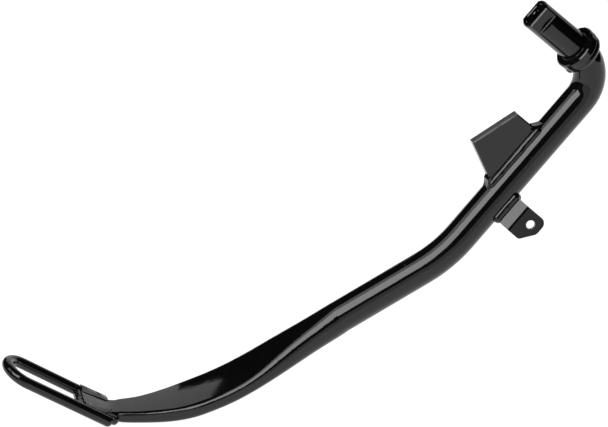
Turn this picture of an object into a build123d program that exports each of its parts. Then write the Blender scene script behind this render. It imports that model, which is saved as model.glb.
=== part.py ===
from build123d import *
import math
import os

# Motorcycle side-stand leg, in millimetres, in its lowered position.
# Origin: centre of the pivot pin on the face of the thrust collar.
# +Z is up from the ground, the foot points to -X, and -Y is the outer side.

os.makedirs("parts", exist_ok=True)

# ---- Driving dimensions -------------------------------------------------
BAR_DIA = 22.9  # round bar with its paint
PIN_DIA = 22.0
PIN_LENGTH = 42.5
PIN_FLATS_ACROSS = 14.4
PIN_FLATS_LENGTH = 9.6
PIN_END_CHAMFER = 0.8
PIN_SHOULDER_ROUND = 0.9  # in the corner between a flat and its shoulder
PIN_SLOT_LENGTH = 15.5
PIN_SLOT_WIDTH = 8.6
PIN_SLOT_DEPTH = 1.6
PIN_SLOT_CHAMFER = 0.5
PIN_THREAD_DIA = 6.0
PIN_THREAD_DEPTH = 20.0
SPIGOT_DIA = 14.0
SPIGOT_LENGTH = 6.0
SPIGOT_SEAT = 0.02  # diametral room between spigot and bar bore

COLLAR_DIA = 32.3
COLLAR_THICK = 6.2
COLLAR_CHAMFER = 0.8  # of the face's edge
COLLAR_ROUND = 1.1  # of the back's edge
COLLAR_GROOVE_INNER = 22.5  # diameters of the fine groove round the pin
COLLAR_GROOVE_OUTER = 23.7
COLLAR_GROOVE_DEPTH = 0.3
COLLAR_WELD_RADIUS = 3.9

ELBOW_RADIUS = 25.6
UPPER_LENGTH = 168.6  # from the elbow's corner to the bend's corner
BEND_RADIUS = 105.0
LOWER_SLOPE = 30.0  # degrees below level
ROUND_LENGTH = 84.0  # from the bend's corner to where the forging begins
FORGED_STRAIGHT = 71.0
FORGED_SLOPE = 31.2  # degrees below level
BLADE_CURVE_RADIUS = 164.0
BLADE_END_RISE = 1.0  # degrees above level
BLADE_END_LENGTH = 8.2
BLADE_END_DROP = 0.5  # of the blade's end below its centreline
TONGUE_RISE = 28.0
TONGUE_BEND_RADIUS = 24.0
TONGUE_LENGTH = 16.8
TONGUE_WIDTH = 20.8
TONGUE_THICK = 8.2
TONGUE_CORNER = 2.6

PLATE_THICK = 6.35  # 1/4 in plate
PLATE_SINK = 0.5
PLATE_EDGE_CHAMFER = 0.9
PLATE_WELD_RADIUS = 3.0
PLATE_UPPER_WELD = (7.6, 5.2)  # reach along the bar, height up the plate
PLATE_LOWER_WELD = (6.0, 4.4)
PLATE_WELD_HOLLOW = 0.5
PLATE_WELD_CROWN = 12.0  # centre of the end welds' round backs, from the bar's axis
PLATE_WELD_FALL = 0.7  # drop of that centre for each millimetre away from the plate
PLATE_END_WELD_RADIUS = 4.3

TAB_THICK = 3.2
TAB_BEND_RADIUS = 2.0  # inside the bend
TAB_WIDTH = 21.0
TAB_REACH = 11.65  # from the bar's surface to the bend
TAB_FLAT_LENGTH = 16.9
TAB_ALONG = 115.2
TAB_HOLE_DIA = 6.35
TAB_ROOT_TILT = 47.0  # degrees out of the leg's plane
TAB_END_TILT = 16.0

ROD_DIA = 8.0
ROD_END_ROUND = 3.0
LOOP_RADIUS = 14.2  # to the rod's centre
NEAR_STRAIGHT = 68.6
FAR_STRAIGHT = 63.0
NEAR_WELD_FROM = -67.6  # along the rods, from the loop's arc centre
FAR_WELD_FROM = -66.0
SIDE_WELD_STOP = -46.0
LOOP_CLOSING = 1.5  # degrees that the far leg leans towards the near one
LOOP_RISE = 32.3
LOOP_CENTRE = Vector(-389.4, 0, -205.5)

# Directions of the pivot pin and of the leg just below the elbow.
PIN_DIR = Vector(-0.678, -0.112, 0.727).normalized()
UPPER_DIR = Vector(-0.697, -0.215, -0.684)
UPPER_DIR = (UPPER_DIR - PIN_DIR * UPPER_DIR.dot(PIN_DIR)).normalized()
SIDE_DIR = PIN_DIR.cross(UPPER_DIR).normalized()  # out of the leg's outer side


def slope_dir(degrees):
    """Direction towards the foot, rising by this many degrees."""
    angle = math.radians(degrees)
    return Vector(-math.cos(angle), 0, math.sin(angle))


def slope_up(degrees):
    """Square to slope_dir, on its upper side."""
    angle = math.radians(degrees)
    return Vector(math.sin(angle), 0, math.cos(angle))


LOWER_DIR = slope_dir(-LOWER_SLOPE)

# ---- Key points ---------------------------------------------------------
COLLAR_BACK = PIN_DIR * -COLLAR_THICK
ELBOW_CORNER = COLLAR_BACK - PIN_DIR * ELBOW_RADIUS
BEND_CORNER = ELBOW_CORNER + UPPER_DIR * UPPER_LENGTH
LEG_Y = BEND_CORNER.Y
FORGE_START = BEND_CORNER + LOWER_DIR * ROUND_LENGTH
CURVE_START = FORGE_START + slope_dir(-FORGED_SLOPE) * FORGED_STRAIGHT
CURVE_CENTRE = CURVE_START + slope_up(-FORGED_SLOPE) * BLADE_CURVE_RADIUS
CURVE_LENGTH = BLADE_CURVE_RADIUS * math.radians(FORGED_SLOPE + BLADE_END_RISE)
CURVE_END = CURVE_CENTRE - slope_up(BLADE_END_RISE) * BLADE_CURVE_RADIUS
TONGUE_START = (
    CURVE_END
    + slope_dir(BLADE_END_RISE) * BLADE_END_LENGTH
    - slope_up(BLADE_END_RISE) * BLADE_END_DROP
)
TONGUE_CENTRE = TONGUE_START + slope_up(BLADE_END_RISE) * TONGUE_BEND_RADIUS
TONGUE_BEND_END = TONGUE_CENTRE - slope_up(TONGUE_RISE) * TONGUE_BEND_RADIUS
TONGUE_END = TONGUE_BEND_END + slope_dir(TONGUE_RISE) * TONGUE_LENGTH
LOOP_DIR = slope_dir(LOOP_RISE)
LOOP_UP = slope_up(LOOP_RISE)
LOOP_ARC_CENTRE = Vector(LOOP_CENTRE.X, LEG_Y, LOOP_CENTRE.Z)


def arm_point(along, towards_pin, towards_outside):
    """A point given from the elbow's corner in the leg's own directions."""
    return (
        ELBOW_CORNER
        + UPPER_DIR * along
        + PIN_DIR * towards_pin
        + SIDE_DIR * towards_outside
    )


def corner_arc(corner, dir_in, dir_out, radius):
    """Start, middle and end of the arc that rounds a corner of a path."""
    turn = math.acos(dir_in.dot(dir_out))
    tangent = radius * math.tan(turn / 2)
    start = corner - dir_in * tangent
    end = corner + dir_out * tangent
    centre = start + (dir_out - dir_in * dir_in.dot(dir_out)).normalized() * radius
    middle = centre + (corner - centre).normalized() * radius
    return start, middle, end


def rod(start, end, radius):
    """A round rod between two points."""
    return Plane(origin=start, z_dir=end - start) * Cylinder(
        radius, (end - start).length, align=(Align.CENTER, Align.CENTER, Align.MIN)
    )


def bead(start, end, radius):
    """A round weld run with round ends."""
    run = rod(start, end, radius)
    return run + Pos(*start) * Sphere(radius) + Pos(*end) * Sphere(radius)


def largest(shape):
    """The biggest solid of a shape, to drop slivers left by a cut."""
    return max(shape.solids(), key=lambda solid: solid.volume)


# ---- Pivot pin ----------------------------------------------------------
PIN_FACE_PLANE = Plane(origin=(0, 0, 0), x_dir=UPPER_DIR, z_dir=PIN_DIR)


def make_pin():
    """Turned pin with two flats, a slot and a tapped hole, and its spigot."""
    up = (Align.CENTER, Align.CENTER, Align.MIN)
    down = (Align.CENTER, Align.CENTER, Align.MAX)
    shaft = Cylinder(PIN_DIA / 2, PIN_LENGTH, align=up)
    spigot = Cylinder(SPIGOT_DIA / 2, COLLAR_THICK + SPIGOT_LENGTH, align=down)
    flat_room = PIN_DIA - PIN_FLATS_ACROSS
    side_cut = Box(PIN_DIA * 2, flat_room, PIN_FLATS_LENGTH * 2)
    side_cut = fillet(side_cut.edges().filter_by(Axis.X), PIN_SHOULDER_ROUND)
    offset = PIN_FLATS_ACROSS / 2 + flat_room / 2
    shaft -= Pos(0, offset, PIN_LENGTH) * side_cut
    shaft -= Pos(0, -offset, PIN_LENGTH) * side_cut
    end_face = shaft.faces().sort_by(Axis.Z)[-1]
    shaft = chamfer(end_face.edges(), PIN_END_CHAMFER)
    pin = shaft + spigot
    slot = extrude(SlotOverall(PIN_SLOT_LENGTH, PIN_SLOT_WIDTH), PIN_SLOT_DEPTH)
    pin -= Pos(0, 0, PIN_LENGTH - PIN_SLOT_DEPTH) * slot
    slot_rim = pin.faces().sort_by(Axis.Z)[-1].inner_wires()[0]
    pin = chamfer(slot_rim.edges(), PIN_SLOT_CHAMFER)
    hole = Cylinder(PIN_THREAD_DIA / 2, PIN_THREAD_DEPTH, align=down)
    mouth = Cone(
        PIN_THREAD_DIA / 2, PIN_THREAD_DIA / 2 + 0.6, 0.6, align=down
    )
    floor_height = PIN_LENGTH - PIN_SLOT_DEPTH
    pin -= Pos(0, 0, floor_height) * hole
    pin -= Pos(0, 0, floor_height) * mouth
    return PIN_FACE_PLANE * pin


def make_collar():
    """Ring under the bracket, bored for the spigot, with a fine groove in its face."""
    down = (Align.CENTER, Align.CENTER, Align.MAX)
    ring = Cylinder(COLLAR_DIA / 2, COLLAR_THICK, align=down)
    ring = chamfer(ring.edges().sort_by(Axis.Z)[-1], COLLAR_CHAMFER)
    ring = fillet(ring.edges().sort_by(Axis.Z)[0], COLLAR_ROUND)
    ring -= Cylinder(SPIGOT_DIA / 2 + SPIGOT_SEAT / 2, COLLAR_THICK, align=down)
    groove = Cylinder(COLLAR_GROOVE_OUTER / 2, COLLAR_GROOVE_DEPTH, align=down)
    groove -= Cylinder(COLLAR_GROOVE_INNER / 2, COLLAR_GROOVE_DEPTH, align=down)
    return PIN_FACE_PLANE * (ring - groove)


# ---- Leg bar ------------------------------------------------------------
def blade_station(travel):
    """Point and slope of the forged part's centreline after some travel."""
    if travel == 0:
        return FORGE_START, -LOWER_SLOPE
    if travel <= FORGED_STRAIGHT:
        return FORGE_START + slope_dir(-FORGED_SLOPE) * travel, -FORGED_SLOPE
    travel -= FORGED_STRAIGHT
    if travel <= CURVE_LENGTH:
        slope = math.degrees(travel / BLADE_CURVE_RADIUS) - FORGED_SLOPE
        return CURVE_CENTRE - slope_up(slope) * BLADE_CURVE_RADIUS, slope
    travel -= CURVE_LENGTH
    return CURVE_END + slope_dir(BLADE_END_RISE) * travel, BLADE_END_RISE


# Travel from the start of the forging, width, thickness, corner radius, crown of
# the top and bottom, and how far the section lies below the centreline.
BLADE_SECTIONS = [
    (16.0, 25.6, 20.2, 9.4, 0.3, 0.1),
    (34.0, 29.4, 17.9, 8.0, 0.6, 0.1),
    (52.0, 34.8, 15.2, 6.4, 0.8, 0.2),
    (70.0, 39.4, 12.4, 4.7, 0.9, 0.1),
    (89.0, 41.0, 11.5, 4.0, 0.9, 0.0),
    (108.0, 40.8, 11.6, 4.2, 0.9, 0.2),
    (118.0, 39.8, 11.6, 4.0, 0.8, 0.5),
    (126.0, 37.2, 11.3, 3.3, 0.7, 0.7),
    (140.0, 31.6, 10.6, 2.9, 0.5, 0.8),
    (154.0, 26.5, 9.5, 2.9, 0.4, 0.8),
    (163.0, 24.0, 9.0, 2.8, 0.3, 0.7),
    (
        FORGED_STRAIGHT + CURVE_LENGTH + BLADE_END_LENGTH,
        TONGUE_WIDTH,
        TONGUE_THICK,
        TONGUE_CORNER,
        0.2,
        BLADE_END_DROP,
    ),
]


def blade_section(travel, width, thickness, corner, crown, drop):
    """One cross-section of the forging, with its top and bottom a little round."""
    point, slope = blade_station(travel)
    centre = point - slope_up(slope) * drop
    plane = Plane(origin=centre, x_dir=(0, 1, 0), z_dir=slope_dir(slope))
    half = width / 2
    high = thickness / 2
    edge = high - crown
    outline = [
        ThreePointArc((-half, edge), (0, high), (half, edge)),
        Line((half, edge), (half, -edge)),
        ThreePointArc((half, -edge), (0, -high), (-half, -edge)),
        Line((-half, -edge), (-half, edge)),
    ]
    face = make_face(outline)
    return plane * fillet(face.vertices(), corner)


FIRST_FLAT = 0.4  # width of each flat where it starts to form on the round bar


def first_section():
    """The round bar's own circle, in the eight edges the forging's sections have."""
    point, slope = blade_station(0)
    plane = Plane(origin=point, x_dir=(0, 1, 0), z_dir=slope_dir(slope))
    radius = BAR_DIA / 2
    half_flat = math.asin(FIRST_FLAT / 2 / radius)

    def spot(angle):
        return Vector(radius * math.cos(angle), radius * math.sin(angle), 0)

    edges = []
    for quarter in range(4):
        middle = quarter * math.pi / 2
        flat_end = middle + half_flat
        next_flat = middle + math.pi / 2 - half_flat
        corner = middle + math.pi / 4
        edges.append(ThreePointArc(spot(middle - half_flat), spot(middle), spot(flat_end)))
        edges.append(ThreePointArc(spot(flat_end), spot(corner), spot(next_flat)))
    return plane * make_face(edges)


def make_tongue():
    """Upturned end of the blade that the rods are welded to."""
    middle_slope = (BLADE_END_RISE + TONGUE_RISE) / 2
    middle = TONGUE_CENTRE - slope_up(middle_slope) * TONGUE_BEND_RADIUS
    path = Wire(
        [
            ThreePointArc(TONGUE_START, middle, TONGUE_BEND_END),
            Line(TONGUE_BEND_END, TONGUE_END),
        ]
    )
    return sweep(blade_section(*BLADE_SECTIONS[-1]), path=path)


def make_bar():
    """Elbow, upper leg, bend and lower leg as one bar, forged flat at the end."""
    elbow = corner_arc(ELBOW_CORNER, -PIN_DIR, UPPER_DIR, ELBOW_RADIUS)
    bend = corner_arc(BEND_CORNER, UPPER_DIR, LOWER_DIR, BEND_RADIUS)
    path = Wire(
        [
            ThreePointArc(*elbow),
            Line(elbow[2], bend[0]),
            ThreePointArc(*bend),
            Line(bend[2], FORGE_START),
        ]
    )
    profile = Plane(origin=elbow[0], z_dir=-PIN_DIR) * Circle(BAR_DIA / 2)
    bar = sweep(profile, path=path)
    bar += loft([first_section()] + [blade_section(*row) for row in BLADE_SECTIONS])
    bar += make_tongue()
    bore = Cylinder(
        SPIGOT_DIA / 2 + SPIGOT_SEAT / 2,
        SPIGOT_LENGTH + 0.5,
        align=(Align.CENTER, Align.CENTER, Align.MAX),
    )
    bar -= Plane(origin=COLLAR_BACK, z_dir=PIN_DIR) * bore
    return largest(bar)


# ---- Stop plate ---------------------------------------------------------
# Corners as (distance from the elbow's corner, distance out from the leg).
PLATE_NEAR_ELBOW = (60.6, 32.8)
PLATE_TIP = (95.5, 44.9)
PLATE_ELBOW_FOOT = 60.6
PLATE_LOWER_FOOT = 109.0


def make_plate():
    """Four-sided plate standing on the bar in the plane of the leg."""
    seat = BAR_DIA / 2 - PLATE_SINK
    corners = [
        (PLATE_ELBOW_FOOT, seat),
        PLATE_NEAR_ELBOW,
        PLATE_TIP,
        (PLATE_LOWER_FOOT, seat),
    ]
    plane = Plane(
        origin=arm_point(0, 0, -PLATE_THICK / 2), x_dir=UPPER_DIR, z_dir=SIDE_DIR
    )
    outline = Polygon(*[(along, -out) for along, out in corners], align=None)
    plate = extrude(plane * outline, PLATE_THICK, dir=SIDE_DIR)
    rim = plate.edges().filter_by(lambda e: abs(e.tangent_at(0).dot(SIDE_DIR)) < 0.1)
    return chamfer(rim, PLATE_EDGE_CHAMFER)


def plate_side_weld(side):
    """Bead along one face of the plate."""
    seat = BAR_DIA / 2 - PLATE_SINK
    face = side * PLATE_THICK / 2
    start = arm_point(PLATE_ELBOW_FOOT, seat, face)
    end = arm_point(PLATE_LOWER_FOOT, seat, face)
    return bead(start, end, PLATE_WELD_RADIUS)


def plate_end_weld(foot, sense, reach, height):
    """Hollow-faced weld that runs from the bar up one end of the plate."""
    top = BAR_DIA / 2 - PLATE_SINK
    on_plate = (foot, -(BAR_DIA / 2 + height))
    on_bar = (foot - sense * reach, -top)
    under_bar = (foot - sense * reach, -top + 4)
    under_plate = (foot + sense * 3, -top + 4)
    in_plate = (foot + sense * 3, -(BAR_DIA / 2 + height))
    hollow = (
        foot - sense * (reach / 2 - PLATE_WELD_HOLLOW),
        -(top + height / 2 - PLATE_WELD_HOLLOW),
    )
    outline = [
        ThreePointArc(on_bar, hollow, on_plate),
        Polyline(on_plate, in_plate, under_plate, under_bar, on_bar),
    ]
    plane = Plane(origin=arm_point(0, 0, 0), x_dir=UPPER_DIR, z_dir=SIDE_DIR)
    block = extrude(plane * make_face(outline), 12, dir=SIDE_DIR, both=True)
    away = arm_point(foot - sense * 15, PLATE_WELD_CROWN - PLATE_WELD_FALL * 15, 0)
    inside = arm_point(foot + sense * 8, PLATE_WELD_CROWN + PLATE_WELD_FALL * 8, 0)
    return block & rod(away, inside, PLATE_END_WELD_RADIUS)


# ---- Spring tab ---------------------------------------------------------
def tab_dir(tilt):
    """Direction away from the bar of a tab flat tilted out of the leg's plane."""
    angle = math.radians(tilt)
    return SIDE_DIR * math.sin(angle) - PIN_DIR * math.cos(angle)


def tab_normal(tilt):
    """Outward direction square to a tab flat."""
    angle = math.radians(tilt)
    return SIDE_DIR * math.cos(angle) + PIN_DIR * math.sin(angle)


# Corners of the tab past its bend, as (out from the bend, along the leg).
TAB_OUTLINE = [
    (-40.0, -TAB_WIDTH / 2),
    (TAB_FLAT_LENGTH, -TAB_WIDTH / 2),
    (TAB_FLAT_LENGTH, 0.6),
    (9.0, TAB_WIDTH / 2 + 0.6),
    (-40.0, TAB_WIDTH / 2),
]
TAB_CORNER_RADII = {1: 5.0, 2: 4.5, 3: 3.0}
TAB_HOLE_AT = (9.02, -1.97)
TAB_CENTRE = arm_point(TAB_ALONG, 0, 0)
TAB_BEND = TAB_CENTRE + tab_dir(TAB_ROOT_TILT) * (BAR_DIA / 2 + TAB_REACH)


def make_tab():
    """Plate bent once, with a hole for the spring's hook."""
    root = TAB_CENTRE + tab_dir(TAB_ROOT_TILT) * (BAR_DIA / 2 - 1.0)
    end = TAB_BEND + tab_dir(TAB_END_TILT) * (TAB_FLAT_LENGTH + 1.0)
    root_out = tab_normal(TAB_ROOT_TILT) * (TAB_THICK / 2)
    end_out = tab_normal(TAB_END_TILT) * (TAB_THICK / 2)
    turn = math.radians(TAB_ROOT_TILT - TAB_END_TILT)
    bend_out = (root_out + end_out).normalized() * (TAB_THICK / 2 / math.cos(turn / 2))
    profile = [
        root + root_out,
        TAB_BEND + bend_out,
        end + end_out,
        end - end_out,
        TAB_BEND - bend_out,
        root - root_out,
    ]
    shift = UPPER_DIR * -(TAB_WIDTH / 2 + 1.0)
    section = make_face(Polyline(*[point + shift for point in profile], close=True))
    strip = extrude(section, TAB_WIDTH + 2.0, dir=UPPER_DIR)
    strip = fillet(tab_bend_edge(strip, -1), TAB_BEND_RADIUS)
    strip = fillet(tab_bend_edge(strip, 1), TAB_BEND_RADIUS + TAB_THICK)
    return strip & tab_outline()


def tab_bend_edge(strip, face):
    """The sharp edge at the bend, on the outer (1) or inner (-1) face."""
    spot = TAB_BEND + tab_normal(TAB_ROOT_TILT) * (face * TAB_THICK / 2)
    along = strip.edges().filter_by(lambda e: abs(e.tangent_at(0).dot(UPPER_DIR)) > 0.99)
    return along.sort_by_distance(spot)[0]


def tab_outline():
    """Solid that trims the tab to its rounded outline and pierces its hole."""
    plane = Plane(
        origin=TAB_BEND - tab_normal(TAB_END_TILT) * 20,
        x_dir=tab_dir(TAB_END_TILT),
        z_dir=tab_normal(TAB_END_TILT),
    )
    sense = plane.y_dir.dot(UPPER_DIR)
    corners = [(out, sense * along) for out, along in TAB_OUTLINE]
    outline = Polygon(*corners, align=None)
    for index, radius in TAB_CORNER_RADII.items():
        nearest = outline.vertices().sort_by_distance((*corners[index], 0))[0]
        outline = fillet(nearest, radius)
    hole_out, hole_along = TAB_HOLE_AT
    outline -= Pos(hole_out, sense * hole_along) * Circle(TAB_HOLE_DIA / 2)
    return extrude(plane * outline, 40, dir=tab_normal(TAB_END_TILT))


def tab_weld(side, radius):
    """Bead along the tab's root, on one face."""
    foot = tab_dir(TAB_ROOT_TILT) * (BAR_DIA / 2 + 0.2)
    face = tab_normal(TAB_ROOT_TILT) * (side * TAB_THICK / 2)
    reach = UPPER_DIR * (TAB_WIDTH / 2 - 1.2)
    middle = TAB_CENTRE + foot + face
    return bead(middle - reach, middle + reach, radius)


# ---- Foot loop ----------------------------------------------------------
def loop_point(along, side, up=0.0):
    """A point given from the loop's arc centre: along the rods, across, up."""
    return LOOP_ARC_CENTRE + LOOP_DIR * along + Vector(0, side, 0) + LOOP_UP * up


def make_loop():
    """Rod bent to a U with both ends towards the blade."""
    lean = math.radians(LOOP_CLOSING)
    near_end = loop_point(-NEAR_STRAIGHT, -LOOP_RADIUS)
    near_bend = loop_point(0, -LOOP_RADIUS)
    tip = loop_point(LOOP_RADIUS, 0)
    bend_along = -LOOP_RADIUS * math.sin(lean)
    bend_side = LOOP_RADIUS * math.cos(lean)
    far_bend = loop_point(bend_along, bend_side)
    far_end = loop_point(
        bend_along - FAR_STRAIGHT * math.cos(lean),
        bend_side - FAR_STRAIGHT * math.sin(lean),
    )
    path = Wire(
        [
            Line(near_end, near_bend),
            ThreePointArc(near_bend, tip, far_bend),
            Line(far_bend, far_end),
        ]
    )
    profile = Plane(origin=near_end, z_dir=LOOP_DIR) * Circle(ROD_DIA / 2)
    loop = sweep(profile, path=path)
    ends = loop.edges().filter_by(GeomType.CIRCLE)
    ends = ends.filter_by(lambda e: abs(e.radius - ROD_DIA / 2) < 0.01)
    ends = [ends.sort_by_distance(near_end)[0], ends.sort_by_distance(far_end)[0]]
    return fillet(ends, ROD_END_ROUND)


# Corners of the side welds at the rod's end and towards the foot, as (in from the
# rod's centre, up from it).
NEAR_WELD_START = [(9.0, -1.5), (9.0, 5.9), (6.0, 5.4), (1.0, 4.1), (1.0, -1.5)]
NEAR_WELD_END = [(7.5, -1.5), (7.5, 3.5), (5.0, 3.6), (1.0, 4.0), (1.0, -1.5)]
FAR_WELD_START = [(8.0, -1.5), (8.0, 5.6), (4.0, 5.6), (0.0, 5.0), (-2.2, 3.7), (1.0, -1.5)]
FAR_WELD_END = [(8.0, -1.5), (8.0, 3.7), (4.0, 4.3), (0.0, 4.6), (-2.2, 3.8), (1.0, -1.5)]


def loop_side_weld(side, start, start_corners, end_corners):
    """Weld that fills the groove between a rod and the tongue."""
    sections = []
    for along, corners in ((start, start_corners), (SIDE_WELD_STOP, end_corners)):
        points = [loop_point(along, side * (LOOP_RADIUS - inward), up) for inward, up in corners]
        sections.append(make_face(Polyline(*points, close=True)))
    return loft(sections, ruled=True)


def tongue_end_weld():
    """Bead across the free end of the tongue, between the rods."""
    half = LOOP_RADIUS - ROD_DIA / 2
    centre = TONGUE_END + LOOP_DIR * 0.4
    across = Vector(0, half, 0)
    return rod(centre - across, centre + across, 3.2)


def rod_end_weld(side, straight, up):
    """Small lump between a rod's end and the blade's edge."""
    centre = loop_point(-straight - 1.0, side * (LOOP_RADIUS - 2.6), up)
    return Pos(*centre) * Sphere(3.6)


# ---- Put together -------------------------------------------------------
def cut_all(shape, others):
    """Cut a weld back to the pieces it joins."""
    for other in others:
        shape = shape - other
    return largest(shape)


def build_parts():
    """Every piece of the leg, with welds cut to fit their neighbours."""
    pin = make_pin()
    collar = make_collar()
    bar = make_bar()
    plate = make_plate() - bar
    tab = make_tab() - bar
    loop = make_loop()
    bar = largest(bar - loop)

    parts = {
        "pivot_pin": pin,
        "thrust_collar": collar,
        "leg_bar": bar,
        "stop_plate": largest(plate),
        "spring_tab": largest(tab),
        "foot_loop": largest(loop),
    }

    ring = Torus(BAR_DIA / 2, COLLAR_WELD_RADIUS)
    parts["collar_weld"] = cut_all(
        Plane(origin=COLLAR_BACK - PIN_DIR * 2.0, z_dir=PIN_DIR) * ring,
        [collar, bar, pin],
    )
    tack_centre = COLLAR_BACK - PIN_DIR * 3.0 + UPPER_DIR * 12.8
    tack = Pos(*tack_centre) * Sphere(3.6)
    parts["collar_tack_weld"] = cut_all(tack, [collar, bar, parts["collar_weld"]])

    upper = cut_all(plate_end_weld(PLATE_ELBOW_FOOT, 1, *PLATE_UPPER_WELD), [bar, plate])
    lower = cut_all(plate_end_weld(PLATE_LOWER_FOOT, -1, *PLATE_LOWER_WELD), [bar, plate])
    parts["stop_plate_upper_weld"] = upper
    parts["stop_plate_lower_weld"] = lower
    joined = [bar, plate, upper, lower]
    parts["stop_plate_near_weld"] = cut_all(plate_side_weld(1), joined)
    parts["stop_plate_far_weld"] = cut_all(plate_side_weld(-1), joined)

    front = cut_all(tab_weld(1, 3.4), [bar, tab])
    back = cut_all(tab_weld(-1, 3.4), [bar, tab, front])
    parts["spring_tab_front_weld"] = front
    parts["spring_tab_back_weld"] = back

    near = loop_side_weld(-1, NEAR_WELD_FROM, NEAR_WELD_START, NEAR_WELD_END)
    far = loop_side_weld(1, FAR_WELD_FROM, FAR_WELD_START, FAR_WELD_END)
    near = cut_all(near, [bar, loop])
    far = cut_all(far, [bar, loop])
    parts["loop_near_weld"] = near
    parts["loop_far_weld"] = far
    parts["tongue_end_weld"] = cut_all(tongue_end_weld(), [bar, loop, near, far])
    parts["near_rod_end_weld"] = cut_all(
        rod_end_weld(-1, NEAR_STRAIGHT, 1.8), [bar, loop, near]
    )
    parts["far_rod_end_weld"] = cut_all(
        rod_end_weld(1, FAR_STRAIGHT, 0.4), [bar, loop, far]
    )
    return parts


for name, part in build_parts().items():
    solid = Solid(part.wrapped) if isinstance(part, Solid) else largest(part)
    solid.label = name
    export_step(solid, f"parts/{name}.step")
    print(f"{name}: {solid.volume:.1f} mm3")
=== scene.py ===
import math

import bmesh
import bpy
import mathutils.noise
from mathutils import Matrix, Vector


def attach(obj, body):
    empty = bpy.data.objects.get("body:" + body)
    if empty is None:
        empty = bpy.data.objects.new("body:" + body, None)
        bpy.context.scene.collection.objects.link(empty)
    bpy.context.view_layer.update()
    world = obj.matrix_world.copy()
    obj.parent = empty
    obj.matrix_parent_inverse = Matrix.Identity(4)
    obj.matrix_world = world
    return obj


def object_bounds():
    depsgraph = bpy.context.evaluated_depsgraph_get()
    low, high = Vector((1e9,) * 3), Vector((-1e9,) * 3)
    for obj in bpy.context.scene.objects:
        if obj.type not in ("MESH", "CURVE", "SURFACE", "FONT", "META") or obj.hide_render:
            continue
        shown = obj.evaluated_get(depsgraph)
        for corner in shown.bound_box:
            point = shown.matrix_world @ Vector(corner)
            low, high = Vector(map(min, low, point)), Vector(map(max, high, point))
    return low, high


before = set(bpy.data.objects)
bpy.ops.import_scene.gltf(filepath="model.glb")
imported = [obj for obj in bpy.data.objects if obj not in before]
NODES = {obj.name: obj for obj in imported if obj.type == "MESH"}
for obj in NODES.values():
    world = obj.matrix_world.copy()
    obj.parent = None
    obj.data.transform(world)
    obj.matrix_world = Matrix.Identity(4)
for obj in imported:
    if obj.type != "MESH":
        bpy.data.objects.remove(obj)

# Lengths are in metres, but for names that end in MM, and angles in degrees.
CAD_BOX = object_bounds()
GROUND_Z = CAD_BOX[0].z
WHITE = (1, 1, 1, 1)

# The camera looks at the stand from its outer side, a little above.
CAMERA_AZIMUTH = -9.3
CAMERA_ELEVATION = 29.0
CAMERA_LENS_MM = 800.0
CAMERA_SENSOR_MM = 36.0
CAMERA_CLIP_START = 0.5
CAMERA_CLIP_END = 60.0
VIEW_WIDTH = 0.4195  # of what the picture shows at the object
PIN_SEAT_RIGHT = 0.1863  # how far the pin's seat lies right of the view's centre
PIN_SEAT_UP = 0.1153  # and above it


def direction(azimuth, elevation):
    """Unit vector from the object outwards: azimuth 0 in front, 90 to the right."""
    turn = math.radians(azimuth)
    rise = math.radians(elevation)
    return Vector(
        (
            math.sin(turn) * math.cos(rise),
            -math.cos(turn) * math.cos(rise),
            math.sin(rise),
        )
    )


def add_object(name, data):
    """A new object in the scene."""
    added = bpy.data.objects.new(name, data)
    bpy.context.collection.objects.link(added)
    return added


def make_camera():
    """Long lens, so that the picture has almost no perspective."""
    back = direction(CAMERA_AZIMUTH, CAMERA_ELEVATION)
    right = Vector((0, 0, 1)).cross(back).normalized()
    up = back.cross(right)
    target = -right * PIN_SEAT_RIGHT - up * PIN_SEAT_UP
    data = bpy.data.cameras.new("camera")
    data.lens = CAMERA_LENS_MM
    data.sensor_width = CAMERA_SENSOR_MM
    data.dof.use_dof = False
    data.clip_start = CAMERA_CLIP_START
    data.clip_end = CAMERA_CLIP_END
    camera = add_object("camera", data)
    camera.location = target + back * (CAMERA_LENS_MM * VIEW_WIDTH / CAMERA_SENSOR_MM)
    camera.rotation_mode = "QUATERNION"
    camera.rotation_quaternion = (-back).to_track_quat("-Z", "Y")
    bpy.context.scene.camera = camera


# ---- Studio -------------------------------------------------------------
FLOOR_SIZE = 2.6
FLOOR_DROP = 0.0005  # keeps the floor just clear of the foot
FLOOR_GREY = (0.2, 0.2, 0.2, 1)
FLOOR_GLOW = 1.0
ROOM_GLOW = 0.002
BACKDROP_GLOW = 1.0

# Name, azimuth, elevation, width, height, distance and strength of each card.
CARDS = (
    ("softbox_main", -47, 43, 1.05, 0.9, 1.6, 5.9),
    ("softbox_side", -92, 44, 0.6, 0.8, 1.6, 2.0),
    ("front_card", -7, 3, 2.4, 0.6, 1.8, 0.75),
    ("back_card", 169.5, 24, 1.1, 1.5, 1.6, 0.9),
    ("left_back_card", 187, 28, 0.68, 0.3, 1.58, 0.9),
    ("right_back_card", 141, 22, 0.5, 0.8, 1.6, 0.9),
    ("right_card", 136, 3, 1.0, 0.5, 1.6, 0.55),
    ("top_card", -13, 60, 0.4, 0.36, 1.6, 5.0),
)


def rectangle(name, width, height):
    """A flat rectangle about the origin."""
    x = width / 2
    y = height / 2
    corners = [(-x, -y, 0), (x, -y, 0), (x, y, 0), (-x, y, 0)]
    mesh = bpy.data.meshes.new(name)
    mesh.from_pydata(corners, [], [(0, 1, 2, 3)])
    return mesh


def emission_material(name, strength):
    """Plain white light."""
    material = bpy.data.materials.new(name)
    material.use_nodes = True
    tree = material.node_tree
    tree.nodes.clear()
    light = tree.nodes.new("ShaderNodeEmission")
    light.inputs["Color"].default_value = WHITE
    light.inputs["Strength"].default_value = strength
    output = tree.nodes.new("ShaderNodeOutputMaterial")
    tree.links.new(light.outputs["Emission"], output.inputs["Surface"])
    return material


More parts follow.
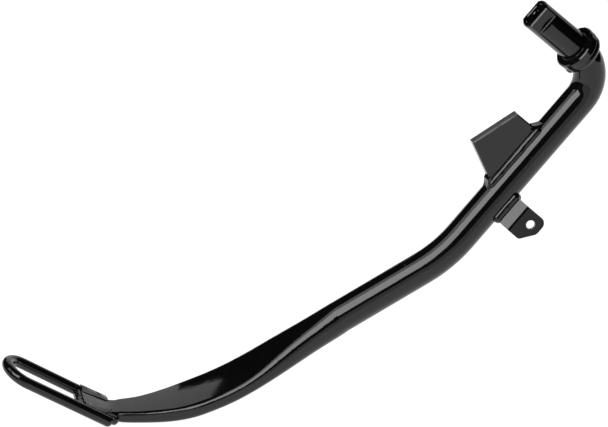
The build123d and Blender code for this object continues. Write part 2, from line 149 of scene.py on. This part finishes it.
def make_card(name, azimuth, elevation, width, height, distance, strength):
    """A flat light that faces the object, unseen by the camera."""
    back = direction(azimuth, elevation)
    mesh = rectangle(name, width, height)
    mesh.materials.append(emission_material(name, strength))
    card = add_object(name, mesh)
    centre = (CAD_BOX[0] + CAD_BOX[1]) / 2
    card.location = centre + back * distance
    card.rotation_mode = "QUATERNION"
    card.rotation_quaternion = back.to_track_quat("Z", "Y")
    card.visible_camera = False
    card.visible_shadow = False


def make_lights():
    """Softboxes up to the left and cards in front, behind, right and above."""
    for card in CARDS:
        make_card(*card)


def make_floor():
    """White floor that glows, as a light table does."""
    material = bpy.data.materials.new("floor")
    material.use_nodes = True
    shader = material.node_tree.nodes["Principled BSDF"]
    shader.inputs["Base Color"].default_value = FLOOR_GREY
    shader.inputs["Roughness"].default_value = 0.9
    shader.inputs["Specular IOR Level"].default_value = 0.0
    shader.inputs["Emission Color"].default_value = WHITE
    shader.inputs["Emission Strength"].default_value = FLOOR_GLOW
    mesh = rectangle("floor", FLOOR_SIZE, FLOOR_SIZE)
    mesh.materials.append(material)
    floor = add_object("floor", mesh)
    floor.location = (0, 0, GROUND_Z - FLOOR_DROP)


def background(tree, strength):
    """A white background shader."""
    node = tree.nodes.new("ShaderNodeBackground")
    node.inputs["Color"].default_value = WHITE
    node.inputs["Strength"].default_value = strength
    return node


def make_world():
    """Dark room, with a white backdrop behind whatever the camera sees."""
    world = bpy.data.worlds.new("studio")
    bpy.context.scene.world = world
    world.use_nodes = True
    tree = world.node_tree
    tree.nodes.clear()
    room = background(tree, ROOM_GLOW)
    backdrop = background(tree, BACKDROP_GLOW)
    path = tree.nodes.new("ShaderNodeLightPath")
    mix = tree.nodes.new("ShaderNodeMixShader")
    output = tree.nodes.new("ShaderNodeOutputWorld")
    tree.links.new(path.outputs["Is Camera Ray"], mix.inputs["Fac"])
    tree.links.new(room.outputs["Background"], mix.inputs[1])
    tree.links.new(backdrop.outputs["Background"], mix.inputs[2])
    tree.links.new(mix.outputs["Shader"], output.inputs["Surface"])


# ---- Materials ----------------------------------------------------------
PAINT_IOR = 1.46
PAINT_DARK = (0.0022, 0.0023, 0.0026, 1)
PAINT_LIGHT = (0.0048, 0.0049, 0.0049, 1)
PAINT_ROUGHNESS = (0.055, 0.10)
DUST_COLOUR = (0.26, 0.26, 0.25, 1)

# Texture scales are in features per metre.
TONE_SCALE = 60.0
HAZE_SCALE = 35.0
HAZE_RANGE = (0.3, 0.7)
NIB_SCALE = 210.0
NIB_EDGE = (0.02, 0.07)  # distances from its centre, in cells, where a nib fades out
NIB_PICK = (0.85, 0.88)  # only cells whose random value is above this carry one
NIB_HEIGHT = 0.00004
PEEL_SCALE = 900.0
PEEL_HEIGHT = 0.0000025
WAVE_SCALE = 90.0
WELD_WAVE_SCALE = 250.0
WAVE_HEIGHT = 0.00008
SWELL_SCALE = 28.0
SWELL_HEIGHT = 0.00012


def noise(tree, coords, scale, detail):
    """A noise texture on the object's own coordinates."""
    node = tree.nodes.new("ShaderNodeTexNoise")
    node.inputs["Scale"].default_value = scale
    node.inputs["Detail"].default_value = detail
    tree.links.new(coords, node.inputs["Vector"])
    return node.outputs["Fac"]


def ramp(tree, source, reach, values):
    """Maps a range of a texture to a range of values."""
    node = tree.nodes.new("ShaderNodeMapRange")
    node.inputs["From Min"].default_value = reach[0]
    node.inputs["From Max"].default_value = reach[1]
    node.inputs["To Min"].default_value = values[0]
    node.inputs["To Max"].default_value = values[1]
    tree.links.new(source, node.inputs["Value"])
    return node.outputs["Result"]


def bump(tree, height, distance, below=None):
    """Raises the surface by a texture, on top of the bump below."""
    node = tree.nodes.new("ShaderNodeBump")
    node.inputs["Strength"].default_value = 1.0
    node.inputs["Distance"].default_value = distance
    tree.links.new(height, node.inputs["Height"])
    if below is not None:
        tree.links.new(below, node.inputs["Normal"])
    return node.outputs["Normal"]


def dust_nibs(tree, coords):
    """Small round specks in some cells of a pattern: 1 on a speck, 0 beside it."""
    cells = tree.nodes.new("ShaderNodeTexVoronoi")
    cells.inputs["Scale"].default_value = NIB_SCALE
    tree.links.new(coords, cells.inputs["Vector"])
    pick = tree.nodes.new("ShaderNodeSeparateColor")
    tree.links.new(cells.outputs["Color"], pick.inputs["Color"])
    nibs = tree.nodes.new("ShaderNodeMath")
    nibs.operation = "MULTIPLY"
    tree.links.new(ramp(tree, cells.outputs["Distance"], NIB_EDGE, (1.0, 0.0)), nibs.inputs[0])
    tree.links.new(ramp(tree, pick.outputs["Red"], NIB_PICK, (0.0, 1.0)), nibs.inputs[1])
    return nibs.outputs["Value"]


def paint_colour(tree, coords, nibs):
    """Near black that varies a little, with pale dust."""
    colour = tree.nodes.new("ShaderNodeValToRGB")
    colour.color_ramp.elements[0].color = PAINT_DARK
    colour.color_ramp.elements[1].color = PAINT_LIGHT
    tree.links.new(noise(tree, coords, TONE_SCALE, detail=3.0), colour.inputs["Fac"])
    dust = tree.nodes.new("ShaderNodeMix")
    dust.data_type = "RGBA"
    dust.inputs["B"].default_value = DUST_COLOUR
    tree.links.new(nibs, dust.inputs["Factor"])
    tree.links.new(colour.outputs["Color"], dust.inputs["A"])
    return dust.outputs["Result"]


def paint_relief(tree, coords, nibs, wave_scale):
    """Slow swells, then waves, then orange peel, then dust nibs."""
    swell = bump(tree, noise(tree, coords, SWELL_SCALE, detail=1.0), SWELL_HEIGHT)
    wave = bump(tree, noise(tree, coords, wave_scale, detail=2.0), WAVE_HEIGHT, swell)
    peel = bump(tree, noise(tree, coords, PEEL_SCALE, detail=1.0), PEEL_HEIGHT, wave)
    return bump(tree, nibs, NIB_HEIGHT, peel)


def paint_material(name, wave_scale):
    """Gloss black paint with faint orange peel, soft waves and dust nibs."""
    material = bpy.data.materials.new(name)
    material.use_nodes = True
    tree = material.node_tree
    shader = tree.nodes["Principled BSDF"]
    shader.inputs["IOR"].default_value = PAINT_IOR
    shader.inputs["Metallic"].default_value = 0.0
    coords = tree.nodes.new("ShaderNodeTexCoord").outputs["Object"]
    nibs = dust_nibs(tree, coords)
    haze = noise(tree, coords, HAZE_SCALE, detail=4.0)
    roughness = ramp(tree, haze, HAZE_RANGE, PAINT_ROUGHNESS)
    tree.links.new(paint_colour(tree, coords, nibs), shader.inputs["Base Color"])
    tree.links.new(roughness, shader.inputs["Roughness"])
    tree.links.new(paint_relief(tree, coords, nibs, wave_scale), shader.inputs["Normal"])
    return material


def paint_nodes():
    """Every node gets gloss paint, the welds a coat with closer waves."""
    paint = paint_material("black_paint", WAVE_SCALE)
    weld_paint = paint_material("black_paint_weld", WELD_WAVE_SCALE)
    for name, node in NODES.items():
        node.data.materials.clear()
        node.data.materials.append(weld_paint if name.endswith("weld") else paint)


# ---- Welds --------------------------------------------------------------
WELD_VOXEL = 0.00032  # the welds' mesh size
SMOOTHING = 0.5
SMOOTHING_ROUNDS = 4
LUMP_MIDDLE = 0.45
# Long beads run smooth, the welds at the ends are knobbly.
SMOOTH_LUMP_SIZE = 0.0085
SMOOTH_LUMP_HEIGHT = 0.0007
ROUGH_LUMP_SIZE = 0.0026
ROUGH_LUMP_HEIGHT = 0.0011
ROUGH_WELDS = ("tongue_end_weld", "near_rod_end_weld", "collar_tack_weld")
PLAIN_WELDS = ("loop_far_weld",)  # dressed smooth, flush with the tongue


def lump_texture(name, size):
    """Soft lumps of a given size."""
    texture = bpy.data.textures.new(name, "CLOUDS")
    texture.noise_scale = size
    texture.noise_depth = 1
    return texture


def roughen_welds():
    """Gives the welds an even mesh with rounded edges and real lumps."""
    smooth_texture = lump_texture("smooth_lumps", SMOOTH_LUMP_SIZE)
    rough_texture = lump_texture("rough_lumps", ROUGH_LUMP_SIZE)
    for name, node in NODES.items():
        if not name.endswith("weld") or name in PLAIN_WELDS:
            continue
        rough = name in ROUGH_WELDS
        even = node.modifiers.new("even", "REMESH")
        even.mode = "VOXEL"
        even.voxel_size = WELD_VOXEL
        even.use_smooth_shade = True
        soften = node.modifiers.new("soften", "SMOOTH")
        soften.factor = SMOOTHING
        soften.iterations = SMOOTHING_ROUNDS
        lumps = node.modifiers.new("lumps", "DISPLACE")
        lumps.texture = rough_texture if rough else smooth_texture
        lumps.texture_coords = "LOCAL"
        lumps.mid_level = LUMP_MIDDLE
        lumps.strength = ROUGH_LUMP_HEIGHT if rough else SMOOTH_LUMP_HEIGHT


# ---- Paint build-up round the pin's foot --------------------------------
# The axis and radius of the CAD's pin, whose foot is at the origin.
PIN_AXIS = Vector((-0.678, -0.112, 0.727)).normalized()
PIN_RADIUS = 0.011
BUILD_UP_RADIUS = 0.00045  # of the ring's section
BUILD_UP_STEPS = 240
BUILD_UP_SIDES = 12
RING_SWELL_SCALE = 9.0  # how fast the ring's thickness changes along it
RING_SWELL = 0.55  # and by what share
RING_LUMP_SCALE = 30.0  # the same for the lumps on its surface
RING_LUMP = 0.3


def build_up_section(turn, across, along):
    """Points round the ring's lumpy section, at a turn round the pin."""
    outward = across * math.cos(turn) + along * math.sin(turn)
    swell = mathutils.noise.noise(outward * RING_SWELL_SCALE)
    radius = BUILD_UP_RADIUS * (1.0 + RING_SWELL * swell)
    centre = outward * PIN_RADIUS
    points = []
    for side in range(BUILD_UP_SIDES):
        angle = 2 * math.pi * side / BUILD_UP_SIDES
        offset = outward * math.cos(angle) + PIN_AXIS * math.sin(angle)
        lump = mathutils.noise.noise(outward * RING_LUMP_SCALE + PIN_AXIS * angle)
        points.append(centre + offset * radius * (1.0 + RING_LUMP * lump))
    return points


def make_build_up():
    """Uneven ring of paint in the corner between the pin and the collar."""
    mesh = bpy.data.meshes.new("pin_foot_paint")
    bm = bmesh.new()
    across = PIN_AXIS.orthogonal().normalized()
    along = PIN_AXIS.cross(across)
    rings = []
    for step in range(BUILD_UP_STEPS):
        points = build_up_section(2 * math.pi * step / BUILD_UP_STEPS, across, along)
        rings.append([bm.verts.new(point) for point in points])
    for step, ring in enumerate(rings):
        following = rings[(step + 1) % BUILD_UP_STEPS]
        for side in range(BUILD_UP_SIDES):
            beside = (side + 1) % BUILD_UP_SIDES
            bm.faces.new((ring[side], following[side], following[beside], ring[beside]))
    bmesh.ops.recalc_face_normals(bm, faces=bm.faces)
    bm.to_mesh(mesh)
    bm.free()
    mesh.shade_smooth()
    mesh.materials.append(paint_material("black_paint_build_up", WELD_WAVE_SCALE))
    piece = add_object("pin_foot_paint", mesh)
    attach(piece, "root")


make_camera()
make_world()
make_floor()
make_lights()
paint_nodes()
roughen_welds()
make_build_up()
bpy.context.scene.view_settings.view_transform = "Standard"
bpy.context.scene.view_settings.look = "None"
